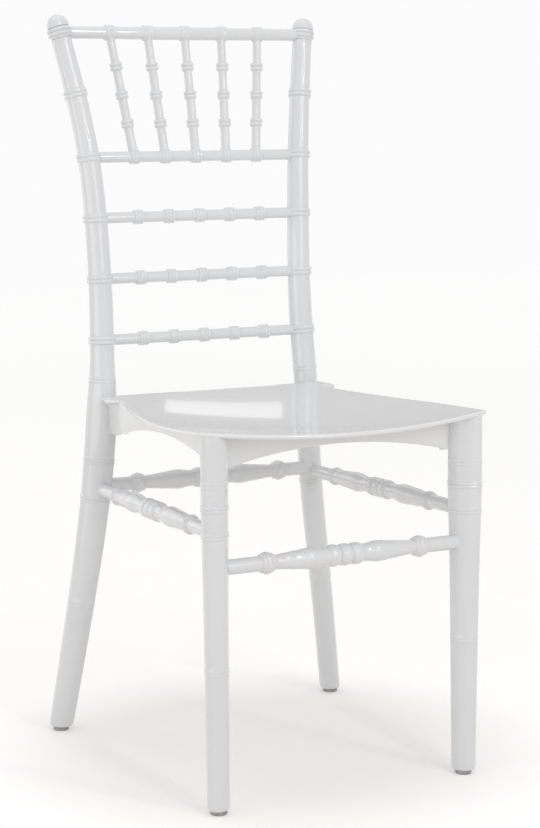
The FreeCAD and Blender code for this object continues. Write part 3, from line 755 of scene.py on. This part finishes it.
def seat_tab(hand):
    """The small tab at the plate's back corner that reaches in front of the post."""
    points = []
    half = PLATE / 2
    for turn in np.linspace(0.02 * pi, 0.98 * pi, TAB_ROWS):
        inset = half * (1 - sin(turn))
        drop = half * (1 - cos(turn))
        for (x, y), (inward_x, inward_y) in zip(TAB_CORNERS, TAB_INWARD):
            x, y = x + inward_x * inset, y + inward_y * inset
            points.append(to_frame(Vector((x, y, seat_top(x, y) - drop)), SIDES[hand]))
    faces = closed_rows(TAB_ROWS, len(TAB_CORNERS))
    skin("seat_tab_" + hand, points, faces, "seat", SEAT_RESIN, sharp_from=60.0)


WALL_STEPS = 48
WALL_EASE = 1.2


def wall(name, start, end, thickness, low_at, side=1):
    """A wall from the plate down to an eased lower edge, between two plan points."""
    start, end = Vector((*start, 0)), Vector((*end, 0))
    along = (end - start).normalized()
    outward = Vector((along.y, -along.x, 0))
    half = thickness / 2
    ease = min(WALL_EASE, half)
    # (place across the wall, rise above its lower edge), where no rise means up to the plate.
    section = [(half, None), (half, ease), (half - 0.3 * ease, 0.3 * ease), (half - ease, 0)]
    section += [(-across, rise) for across, rise in reversed(section)]
    points = []
    for share in np.linspace(0, 1, WALL_STEPS + 1):
        middle = start.lerp(end, share)
        for across, rise in section:
            spot = middle + outward * across
            top = seat_top(spot.x, spot.y) - PLATE / 2
            spot.z = top if rise is None else low_at(middle) + rise
            points.append(to_frame(spot, side))
    faces = closed_rows(WALL_STEPS + 1, len(section))
    skin(name, points, faces, "seat", SEAT_RESIN, sharp_from=35.0)


def twin_walls(name, start, end, thickness, low_at):
    """A wall on the left and its mirror image on the right."""
    for hand, side in SIDES.items():
        wall(name + "_" + hand, start, end, thickness, low_at, side)


def arch(start, crown, end):
    """Lower edge of an apron: the height at a place along it, on a circular arc."""
    arc = arc_through(start, crown, end, 80) + [np.array(end)]
    spots, heights = np.array(arc).T
    return lambda at: float(np.interp(at, spots, heights))


APRON = 4.5
FRONT_ARCH = arch((-150, 396.5), (0, 415.8), (150, 396.5))
REAR_ARCH = arch((-126, 391), (0, 416), (126, 391))
SIDE_ARCH = arch((15, 402), (155, 417), (327, 391))
RIB = 3.0
RIB_LOW = 417.0
LONG_RIBS = (-75, 0, 75)
CROSS_RIBS = (91.5, 166.5, 241.5)
# Half the length of a cross rib at the front, and how fast the side aprons close in behind it.
CROSS_RIB_HALF = 161.9
SIDE_SLOPE = 0.06
LEG_BRACE = 8.0
LEG_BRACE_LOW = 396.5
POST_BLOCK = 19.4
POST_BLOCK_LOW = 391.0

seat_plate()
for hand in SIDES:
    seat_tab(hand)
wall("front_apron", (-163, 17.25), (163, 17.25), APRON, lambda spot: FRONT_ARCH(spot.x))
wall("rear_apron", (143, 342.25), (-143, 342.25), APRON, lambda spot: REAR_ARCH(spot.x))
twin_walls("side_apron", (163.2, 16), (143.3, 350), APRON, lambda spot: SIDE_ARCH(spot.y))
for number, x in enumerate(LONG_RIBS, 1):
    wall("long_rib_%d" % number, (x, 19), (x, 341), RIB, lambda spot: RIB_LOW)
for number, y in enumerate(CROSS_RIBS, 1):
    half = CROSS_RIB_HALF - SIDE_SLOPE * y
    wall("cross_rib_%d" % number, (-half, y), (half, y), RIB, lambda spot: RIB_LOW)
twin_walls("leg_brace", (143.5, 21.5), (158.5, 36.5), LEG_BRACE, lambda spot: LEG_BRACE_LOW)
twin_walls("post_block", (135.7, 338.5), (135.7, 354.5), POST_BLOCK, lambda spot: POST_BLOCK_LOW)


# Floor glides
# A grey round glide of hard plastic is pressed by its stem into each foot. It is 20 mm across
# and stands 5 mm proud, with an eased lower edge.

glide = Finish("glide_plastic")
scuffs = glide.ramp(0.45, 0.7, glide.noise(scale=160.0, detail=5.0))
grit = glide.noise(scale=700.0, detail=2.0)
GLIDE_PLASTIC = glide.apply(
    Base_Color=glide.mix(scuffs, (0.42, 0.42, 0.41), (0.30, 0.30, 0.29)),
    Roughness=0.45 + 0.25 * scuffs,
    Normal=glide.bump(grit, distance=0.08 * MM),
)
# (height, radius) from the floor into the foot.
GLIDE_PROFILE = [(0, 9.0), (0.3, 9.7), (1.0, 10.0), (5.2, 10.0)]
GLIDE_SIDES = 40


def floor_glide(name, x, y, side):
    up = Vector((0, 0, 1))
    rings = [round_ring(Vector((x, y, at)), up, radius, side) for at, radius in GLIDE_PROFILE]
    tube(name, rings, "floor_glides", GLIDE_PLASTIC, GLIDE_SIDES)


post_foot = post_place(FOOT_HEIGHT)[0]
for hand, side in SIDES.items():
    floor_glide("front_glide_" + hand, FRONT_FOOT_X, LEG_LEAN_BACK * FOOT_HEIGHT / LEG_TOP, side)
    floor_glide("back_glide_" + hand, post_foot.x, post_foot.y, side)


# Bolts and inserts
# One turned steel bolt in each corner of the seat, hidden under it, screws into a brass insert
# that is pressed into the leg or post.

steel = Finish("bolt_steel")
brushed = steel.noise(scale=220.0, detail=4.0)
BOLT_STEEL = steel.apply(
    Base_Color=steel.mix(brushed, (0.42, 0.43, 0.45), (0.62, 0.62, 0.63)),
    Metallic=1.0,
    Roughness=0.28 + 0.2 * brushed,
    Normal=steel.bump(brushed, distance=0.05 * MM),
)
brass = Finish("insert_brass")
tarnish = brass.ramp(0.4, 0.7, brass.noise(scale=180.0, detail=4.0))
INSERT_BRASS = brass.apply(
    Base_Color=brass.mix(tarnish, (0.72, 0.55, 0.25), (0.50, 0.36, 0.16)),
    Metallic=1.0,
    Roughness=0.3 + 0.25 * tarnish,
    Normal=brass.bump(tarnish, distance=0.05 * MM),
)
dress("corner_bolts", BOLT_STEEL)
dress("threaded_inserts", INSERT_BRASS)


# Studio
# A white floor and surround under soft light from above, with narrow softboxes that draw lines
# on the gloss. From here on, places are in metres.


def stage_panel(name, corners):
    """A flat panel that belongs to the studio and not to the chair."""
    mesh = bpy.data.meshes.new(name)
    mesh.from_pydata(corners, [], [(0, 1, 2, 3)])
    panel = bpy.data.objects.new(name, mesh)
    bpy.context.scene.collection.objects.link(panel)
    return panel


def in_sight(nodes):
    """1 for the camera, gloss and glass, and 0 for the rays that light the chair."""
    seen = nodes.add("ShaderNodeLightPath", {}, {}, "Is Camera Ray")
    for ray in ("Is Glossy Ray", "Is Transmission Ray"):
        seen = seen.math("MAXIMUM", nodes.add("ShaderNodeLightPath", {}, {}, ray))
    return seen


# The floor glows in sight alone, so it looks white and lights nothing. The glow is weaker under
# the chair, which paints a patch of shade there over its real shadow, and stronger far off, where
# the floor meets the surround.
NO_GLOW = (0.0, 0.0, 0.0)
SHADOW_GLOW = (0.185, 0.195, 0.205)
NEAR_GLOW = (0.32, 0.335, 0.35)
FAR_GLOW = (0.41, 0.43, 0.45)
# The distances from the chair's middle over which the first glow changes to the second, and the
# second to the third.
NEAR_FROM, NEAR_TO = 0.21, 0.37
FAR_FROM, FAR_TO = 0.6, 4.5
floor = stage_panel("floor", [(-6, -6, 0), (6, -6, 0), (6, 6, 0), (-6, 6, 0)])
sweep = Finish("white_sweep")
grain = sweep.noise(scale=3.0, detail=4.0)
from_chair = sweep.add("ShaderNodeVectorMath", {"operation": "LENGTH"}, {0: sweep.place}, 1)
# Less glow near the chair: painted shade round its real shadow.
glow = sweep.mix(sweep.ramp(NEAR_FROM, NEAR_TO, from_chair), SHADOW_GLOW, NEAR_GLOW)
glow = sweep.mix(sweep.ramp(FAR_FROM, FAR_TO, from_chair), glow, FAR_GLOW)
floor.data.materials.append(
    sweep.apply(
        Base_Color=sweep.mix(grain, (0.84, 0.81, 0.77), (0.87, 0.84, 0.80)),
        Roughness=0.8,
        Specular_IOR_Level=0.1,
        Emission_Color=sweep.mix(in_sight(sweep), NO_GLOW, glow),
        Emission_Strength=1.0,
    )
)

# The surround is near white in sight, and lights the chair more weakly.
LIGHT_STRENGTH = 0.63
SIGHT_STRENGTH = 0.97
world = bpy.data.worlds.new("studio")
bpy.context.scene.world = world
world.use_nodes = True
sky = Nodes(world.node_tree)
background = sky.tree.nodes["Background"]
levels = {"Value": in_sight(sky), "To Min": LIGHT_STRENGTH, "To Max": SIGHT_STRENGTH}
sky.join(background.inputs["Strength"], sky.add("ShaderNodeMapRange", {}, levels))
sky.join(background.inputs["Color"], (1.0, 1.0, 1.0))


def softbox(name, place, target, size, power):
    """A soft rectangular lamp at a place, turned to a target."""
    light = bpy.data.lights.new(name, "AREA")
    light.shape = "RECTANGLE"
    light.size, light.size_y = size
    light.energy = power
    lamp = bpy.data.objects.new(name, light)
    bpy.context.scene.collection.objects.link(lamp)
    lamp.location = place
    lamp.rotation_euler = (Vector(target) - Vector(place)).to_track_quat("-Z", "Y").to_euler()
    return lamp


softbox("top_light", place=(-0.3, 0.2, 2.6), target=(0, 0, 0.3), size=(2.2, 2.2), power=6.5)
softbox("left_box", place=(-2.6, -0.6, 0.5), target=(0, 0, 0.25), size=(2.4, 0.9), power=8)
softbox("front_box", place=(0.5, -2.6, 1.2), target=(0, 0, 0.25), size=(1.2, 0.8), power=4.5)
softbox("front_strip", place=(0.06, -2.5, 2.3), target=(0, 0, 0.6), size=(0.12, 1.8), power=7)
softbox("high_strip", place=(0.9, -2.1, 1.95), target=(0, 0, 0.3), size=(0.12, 0.9), power=4.5)
rear_lamps = [
    softbox("back_left_box", place=(-1.6, 2.3, 1.1), target=(0, 0, 0.3), size=(1.8, 1.4), power=5),
    softbox("back_panel", place=(1.2, 2.49, 0.98), target=(0, 0, 0.45), size=(0.25, 0.26), power=0.085),
]
for lamp in rear_lamps:
    lamp.visible_camera = False

# A grey card stands behind the chair, unseen by the camera, and darkens what the seat mirrors.
card = stage_panel("card", [(0.5, 2.6, 0.4), (2.5, 2.6, 0.4), (2.5, 2.6, 1.5), (0.5, 2.6, 1.5)])
card.visible_camera = False
card.visible_diffuse = False
card.visible_shadow = False
grey = Finish("card_grey")
fibres = grey.noise(scale=40.0, detail=3.0)
card.data.materials.append(
    grey.apply(
        Base_Color=grey.mix(fibres, (0.79, 0.79, 0.80), (0.85, 0.85, 0.86)),
        Roughness=0.9,
        # A faint glow, though the card is no lamp, paints its reflection in the seat a little lighter.
        Emission_Color=(0.04, 0.04, 0.04),
        Emission_Strength=1.0,
    )
)

# The camera was fitted to the photo, whose long side and focal length are these, in pixels.
PHOTO_HEIGHT = 828
PHOTO_FOCAL_LENGTH = 2193.5
CAMERA_PLACE = (-1.2286, -2.1766 + FEET_Y, 0.8256)
CAMERA_TURN = radians(-27.42)
CAMERA_TILT = radians(8.50)
camera_data = bpy.data.cameras.new("camera")
camera = bpy.data.objects.new("camera", camera_data)
bpy.context.scene.collection.objects.link(camera)
bpy.context.scene.camera = camera
camera_data.lens = PHOTO_FOCAL_LENGTH / PHOTO_HEIGHT * camera_data.sensor_width
level_way = Vector((sin(CAMERA_TURN), -cos(CAMERA_TURN), 0))
backward = level_way * cos(CAMERA_TILT) + Vector((0, 0, sin(CAMERA_TILT)))
camera.location = CAMERA_PLACE
camera.rotation_euler = backward.to_track_quat("Z", "Y").to_euler()

bpy.context.scene.view_settings.view_transform = "Standard"
